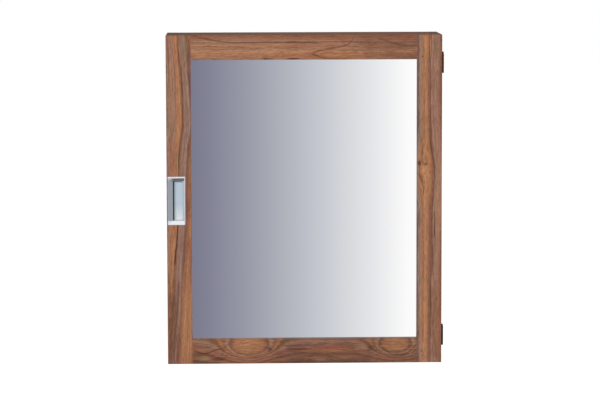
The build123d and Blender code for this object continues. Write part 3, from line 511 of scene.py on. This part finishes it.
dress(teak("oiled_teak_top_rail", (0.0, door_middle, rail_middle), level, (
    (-24, brown), (-20, tan), (-15, orange), (-8, pale), (-3, tan), (2, orange), (6, tan), (9, brown),
    (12, tan), (17, brown), (24, rust)), seed=9.0, knots=((48, -10, 50, 14, 0.6),),
    patches=(
        (-190, -12, 20, 9, 0.7, pale), (-45, -8, 46, 5, 0.7, pale), (-66, -20.5, 14, 2.4, 0.9, dark),
        (-20, -20.5, 14, 2.2, 0.9, dark), (-100, -19, 16, 3, 0.6, rust), (44, -11.5, 22, 5.5, 0.8, orange),
        (66, 14, 7, 2.8, 1.0, rust), (102, -11, 11, 5, 0.6, pale), (188, 14, 26, 6, 0.6, rust),
        (190, -18, 28, 5.5, 0.9, plum), (165, -2, 90, 32, 0.4, brown), (160, 0, 100, 36, 0.4, umber),
        (5, 0, 90, 34, 0.2, rust), (-125, 2, 105, 28, 0.35, tan), (-125, -3, 105, 28, 0.3, pale)),
    veins=(
        (1.5, 0.9, umber, (-204, 20), (-188, 17), (-165, 13.2), (-142, 9.8), (-100, 9.3), (-50, 9.3), (-7, 9.1),
         (15, 8.6), (36, 6.6)),
        (1.0, 0.7, brown, (-204, 3), (-150, 1.4), (-80, 1.0)),
        (1.0, 0.7, brown, (-195, -2), (-130, -3.2), (-70, -3)),
        (1.9, 0.85, umber, (10, -11.6), (20, -8.6), (32, -5.6), (47, -3), (65, 0.6), (76, 3.8), (84, 8)),
        (1.8, 0.85, umber, (78, 4), (83, 8), (87, 13), (90, 20)),
        (1.8, 0.85, umber, (10, -9.6), (22, -15), (33, -18.8), (50, -20.6), (84, -21)),
        (2.0, 0.9, umber, (130, 17.5), (144, 12.8), (159, 7.8), (172, 4.4), (188, 2.8), (210, 2.2)),
        (1.2, 0.7, brown, (70, -16), (85, -9), (100, -5), (115, -4.6), (135, -8), (152, -14)))), "top_rail")

dress(teak("oiled_teak_bottom_rail", (0.0, door_middle, -rail_middle), level, (
    (-9, dark), (-6, umber), (-3.5, brown), (-1.5, umber), (0.5, brown), (2.5, rust), (4.5, plum), (6.5, tan),
    (8, brown), (9.5, umber), (11, orange), (13, brown), (15.5, tan), (18, umber), (20, orange), (30, pale)),
    grade=0.35, eyes=((-101.5, 6.5, 44, 24, 26), (165, 6.6, 40, 22, 24)), seed=13.0,
    patches=(
        (-180, 4, 24, 3, 0.7, olive), (-137, 14, 7, 5, 0.8, plum), (-156, -13, 17, 4.6, 1.0, dark),
        (-183, -12, 11, 6, 0.9, olive), (-64, 4, 6, 6, 0.9, dark), (-30, -2, 26, 8, 0.6, plum),
        (6, 7, 6, 2, 0.8, tan), (55, 8, 40, 5, 0.6, rust), (50, -1.5, 44, 4, 0.7, orange),
        (28, -15.5, 18, 4, 0.8, pink), (102, 5, 14, 5, 0.7, tan), (121, 5, 8, 5, 0.9, dark),
        (112, -9, 18, 8, 0.6, plum), (196, 8, 5, 3, 0.9, rust), (-125, 0, 100, 30, 0.2, orange),
        (70, 0, 230, 40, 0.32, umber)),
    veins=(
        (1.5, 0.85, dark, (-206, 4), (-196, -0.5), (-188, -2.6), (-176, -1.9), (-163, 3.1), (-150, 5.9),
         (-140, 11.5)),
        (1.2, 0.9, dark, (-36, 3.2), (-10, 4), (16, 3.6)),
        (1.5, 0.9, umber, (-14, -12.5), (0, -10), (14, -8.5), (37, -7.7), (56, -11.6), (80, -19)),
        (1.5, 0.8, dark, (140, 12), (148, 1), (160, -6.8), (172, -8.2), (184, -7), (193, 0), (199, 8)),
        (1.2, 0.8, umber, (122, 8), (138, -3), (150, -9.5), (165, -12.9), (185, -12.5), (210, -10.6)))),
    "bottom_rail")

bead_rings = ((-24, brown), (-12, tan), (-4, orange), (2, pink), (8, brown), (14, tan), (24, umber))
dress(teak("oiled_teak_upright_beads", (0.0, door_middle, 0.0), upright, bead_rings, (-18, 4), 0.03, 0.6,
           seed=51.0), "left_bead", "right_bead")
dress(teak("oiled_teak_level_beads", (0.0, door_middle, 0.0), level, bead_rings, (-20, 6), 0.03, 0.6,
           seed=57.0), "top_bead", "bottom_bead")


# Mirror
# Float glass, silvered on the back and painted over, with polished edges that show the green of the glass. It
# lies in the door frame's rebate in front of a thin plywood backing, and four beads held by brads keep both
# in.

glass = bpy.data.materials.new("silvered_glass")
glass.use_nodes = True
tree = glass.node_tree
shader = tree.nodes["Principled BSDF"]
facing = add(tree, "SeparateXYZ", (add(tree, "TexCoord", out="Normal"),), out="Y")
front = add(tree, "MapRange", {"Value": facing, "From Min": -0.80, "From Max": -0.95})
painted = add(tree, "MapRange", {"Value": facing, "From Min": 0.80, "From Max": 0.95})
edge = add(tree, "Mix", {"Factor": painted, "A": linear("#7fa898"), "B": linear("#6a6f70")}, data_type="RGBA",
           out="Result")
tree.links.new(add(tree, "Mix", {"Factor": front, "A": edge, "B": linear("#fefefd")}, data_type="RGBA",
                   out="Result"), shader.inputs["Base Color"])
tree.links.new(front, shader.inputs["Metallic"])
tree.links.new(add(tree, "MapRange", {"Value": front, "To Min": 0.3, "To Max": 0.0}),
               shader.inputs["Roughness"])
dress(glass, "mirror_glass")
dress(plywood("birch_plywood_backing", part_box("backing_board")[1][1], 47.0), "backing_board")
dress(zinc_steel, "bead_brads")


# Flush pull
# A steel casting let into the left stile, a hair proud of its face and held by two screws from behind. The
# face is brushed along its height, and the pocket keeps a fine cast satin. Highlights on the rim and three of
# its slopes, and light and shade in the pocket, are painted into its colour.

satin_steel = bpy.data.materials.new("satin_steel")
satin_steel.use_nodes = True
tree = satin_steel.node_tree
shader = tree.nodes["Principled BSDF"]
pull_low, pull_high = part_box("flush_pull")
pull_middle = ((pull_low[0] + pull_high[0]) / 2, pull_low[1], 0.0)
at = add(tree, "Mapping", {"Vector": add(tree, "TexCoord", out="Object"), "Location": pull_middle,
                           "Scale": (0.001, 0.001, 0.001)}, vector_type="TEXTURE")
axes = add(tree, "SeparateXYZ", (at,)).node.outputs
brush = add(tree, "Mapping", {"Vector": at, "Scale": (1 / 0.5, 1 / 0.5, 1 / 16)})
brush = add(tree, "TexNoise", {"Vector": brush, "Scale": 1.0, "Detail": 3.0, "Roughness": 0.6})
colour = add(tree, "ValToRGB", (brush,), stops=((0.3, "#b2b7bd"), (0.7, "#c7ccd2")))
# Painted highlights: the slope right of the mouth, and brighter still the slopes at the top and the foot. In
# millimetres.
right_slope_start = 11.4
end_slope_start = 36.3
blend = 0.8
right_slope_highlight = add(tree, "MapRange", {"Value": axes["X"], "From Min": right_slope_start,
                                     "From Max": right_slope_start + blend})
end_slopes_highlight = add(tree, "Math", (axes["Z"],), operation="ABSOLUTE")
end_slopes_highlight = add(tree, "MapRange", {"Value": end_slopes_highlight, "From Min": end_slope_start, "From Max": end_slope_start + blend})
colour = add(tree, "Mix", {"Factor": right_slope_highlight, "A": colour, "B": linear("#c6d6e1")}, data_type="RGBA",
             out="Result")
colour = add(tree, "Mix", {"Factor": end_slopes_highlight, "A": colour, "B": linear("#f1f5f8")}, data_type="RGBA", out="Result")
# Painted shade on the upper end's slope, which looks down, weaker towards the ledge on the left.
head_shade = add(tree, "MapRange", {"Value": axes["Z"], "From Min": 35.8, "From Max": end_slope_start})
ledge = add(tree, "MapRange", {"Value": axes["X"], "From Min": -13.0, "From Max": -6.0, "To Min": 0.35})
head_shade = add(tree, "Math", (head_shade, ledge), operation="MULTIPLY")
colour = add(tree, "Mix", {"Factor": head_shade, "A": colour, "B": linear("#565b61")}, data_type="RGBA", out="Result")
# A painted highlight: a thin bright line along the rim's rounded edge at the top and on the right.
painted_glint = add(tree, "MapRange", {"Value": axes["Z"], "From Min": 40.9, "From Max": 41.6})
painted_side_glint = add(tree, "MapRange", {"Value": axes["X"], "From Min": 13.6, "From Max": 14.4})
painted_glint = add(tree, "Math", (painted_glint, painted_side_glint), operation="MAXIMUM")
colour = add(tree, "Mix", {"Factor": painted_glint, "A": colour, "B": linear("#eae7e9")}, data_type="RGBA",
             out="Result")
# The pocket: a painted bluish reflection, painted light at its foot, painted shade at its top and under the
# lip.
pocket_start = 2.0
pocket_full = 2.5
pocket = add(tree, "MapRange", {"Value": axes["Y"], "From Min": pocket_start, "From Max": pocket_full})
for axis, start, end, most, code in (
        ("Y", pocket_start, pocket_full, 1.0, "#d4e3ef"), ("Z", -6.0, -34.0, 0.85, "#ffffff"),
        ("Z", 32.4, 34.6, 0.85, "#56616c"), ("X", -3.4, -4.9, 1.0, "#0b131b")):
    place = add(tree, "MapRange", {"Value": axes[axis], "From Min": start, "From Max": end, "To Max": most})
    place = add(tree, "Math", (place, pocket), operation="MULTIPLY")
    colour = add(tree, "Mix", {"Factor": place, "A": colour, "B": linear(code)}, data_type="RGBA", out="Result")
tree.links.new(colour, shader.inputs["Base Color"])
rough = add(tree, "MapRange", {"Value": brush, "From Min": 0.3, "From Max": 0.7, "To Min": 0.40,
                               "To Max": 0.30})
rough = add(tree, "Math", (pocket, 0.08, rough), operation="MULTIPLY_ADD")
tree.links.new(rough, shader.inputs["Roughness"])
# The fine cast satin of the pocket scatters a part of the light as a matt surface does. The painted
# highlights on the slopes and the rim are made partly matt too, so that their painted colour shows.
slopes = add(tree, "Math", (right_slope_highlight, end_slopes_highlight), operation="MAXIMUM")
slopes = add(tree, "Math", (slopes, 0.35), operation="MULTIPLY")
scatter = add(tree, "Math", (pocket, painted_glint), operation="MAXIMUM")
scatter = add(tree, "Math", (scatter, 0.55), operation="MULTIPLY")
scatter = add(tree, "Math", (slopes, scatter), operation="MAXIMUM")
tree.links.new(add(tree, "Math", (1.0, scatter), operation="SUBTRACT"), shader.inputs["Metallic"])
tree.links.new(add(tree, "Bump", {"Strength": 0.1, "Distance": 0.0001, "Height": brush}),
               shader.inputs["Normal"])
dress(satin_steel, "flush_pull")
dress(zinc_steel, "pull_screws")


# Hinges
# Two steel butt hinges with loose pins, in a dark bronze finish: a brown-black skin that wears to a warm grey
# brown. The colour runs lighter upwards, so the upper one is the lighter of the two.

dark_bronze = bpy.data.materials.new("dark_bronze_plated_steel")
dark_bronze.use_nodes = True
tree = dark_bronze.node_tree
shader = tree.nodes["Principled BSDF"]
at = add(tree, "TexCoord", out="Object")
# The colour runs lighter upwards, from the lower hinge to the upper.
lighter_upwards = add(tree, "MapRange", {"Value": add(tree, "SeparateXYZ", (at,), out="Z"), "From Min": -0.15,
                                 "From Max": 0.15})
colour = add(tree, "Mix", {"Factor": lighter_upwards, "A": linear("#1c0d07"), "B": linear("#5a3721")}, data_type="RGBA",
             out="Result")
cloud = add(tree, "TexNoise", {"Vector": at, "Scale": 1000 / 5, "Detail": 4.0, "Roughness": 0.65})
rubbed = add(tree, "MapRange", {"Value": cloud, "From Min": 0.40, "From Max": 0.66, "To Max": 0.45})
colour = add(tree, "Mix", {"Factor": rubbed, "A": colour, "B": linear("#604230")}, data_type="RGBA",
             out="Result")
skin = add(tree, "MapRange", {"Value": cloud, "From Min": 0.25, "From Max": 0.42, "To Min": 0.55,
                              "To Max": 0.0})
colour = add(tree, "Mix", {"Factor": skin, "A": colour, "B": linear("#22120c")}, data_type="RGBA", out="Result")
tree.links.new(colour, shader.inputs["Base Color"])
tree.links.new(add(tree, "MapRange", {"Value": cloud, "From Min": 0.3, "From Max": 0.7, "To Min": 0.52,
                                      "To Max": 0.32}), shader.inputs["Roughness"])
shader.inputs["Metallic"].default_value = 1.0
dress(dark_bronze, "upper_hinge_cabinet_leaf", "lower_hinge_cabinet_leaf", "upper_hinge_pin", "lower_hinge_pin",
      "cabinet_hinge_screws", "upper_hinge_door_leaf", "lower_hinge_door_leaf", "door_hinge_screws")


# Magnetic catch
# A moulded brown ABS housing screwed inside the left side, with a ferrite magnet between two steel poles.
# They meet a small steel plate that is screwed to the back of the door.

# ABS from a spark-eroded mould: an even brown with a fine matt grain, drawn at 0.5 mm so that it shows.
brown_abs = bpy.data.materials.new("moulded_brown_abs")
brown_abs.use_nodes = True
tree = brown_abs.node_tree
shader = tree.nodes["Principled BSDF"]
at = add(tree, "TexCoord", out="Object")
grain = add(tree, "TexNoise", {"Vector": at, "Scale": 1000 / 0.5, "Detail": 2.0})
tree.links.new(add(tree, "ValToRGB", (grain,), stops=((0.35, "#4b3428"), (0.65, "#5a4032"))),
               shader.inputs["Base Color"])
tree.links.new(add(tree, "MapRange", {"Value": grain, "To Min": 0.38, "To Max": 0.58}),
               shader.inputs["Roughness"])
tree.links.new(add(tree, "Bump", {"Strength": 0.15, "Distance": 0.0001, "Height": grain}),
               shader.inputs["Normal"])
dress(brown_abs, "catch_housing")

# Sintered ferrite, ground flat: charcoal with a faint sparkle and small chips.
ferrite = bpy.data.materials.new("sintered_ferrite")
ferrite.use_nodes = True
tree = ferrite.node_tree
shader = tree.nodes["Principled BSDF"]
at = add(tree, "TexCoord", out="Object")
chips = add(tree, "TexVoronoi", {"Vector": at, "Scale": 1000 / 0.9})
speck = add(tree, "TexNoise", {"Vector": at, "Scale": 1000 / 0.3, "Detail": 2.0})
speck = add(tree, "Math", (speck, 0.2, add(tree, "Math", (chips, 0.5), operation="MULTIPLY")),
            operation="MULTIPLY_ADD")
tree.links.new(add(tree, "ValToRGB", (speck,), stops=((0.1, "#252628"), (0.5, "#414244"))),
               shader.inputs["Base Color"])
shader.inputs["Roughness"].default_value = 0.65
dress(ferrite, "catch_magnet")
dress(zinc_steel, "catch_poles", "catch_screws", "strike_plate", "strike_screw")


# Door bumpers
# Two self-adhesive domes of clear soft polyurethane on the pull side, which keep the door off the box. They
# are clear, a little milky, and blurred by handling.

clear_rubber = bpy.data.materials.new("clear_polyurethane")
clear_rubber.use_nodes = True
tree = clear_rubber.node_tree
shader = tree.nodes["Principled BSDF"]
milk = add(tree, "TexNoise", {"Vector": add(tree, "TexCoord", out="Object"), "Scale": 1000 / 2.0,
                              "Detail": 2.0})
tree.links.new(add(tree, "ValToRGB", (milk,), stops=((0.3, "#e4ebe9"), (0.7, "#f4f7f6"))),
               shader.inputs["Base Color"])
tree.links.new(add(tree, "MapRange", {"Value": milk, "To Min": 0.18, "To Max": 0.40}),
               shader.inputs["Roughness"])
shader.inputs["Transmission Weight"].default_value = 0.75
shader.inputs["IOR"].default_value = 1.49
dress(clear_rubber, "door_bumpers")
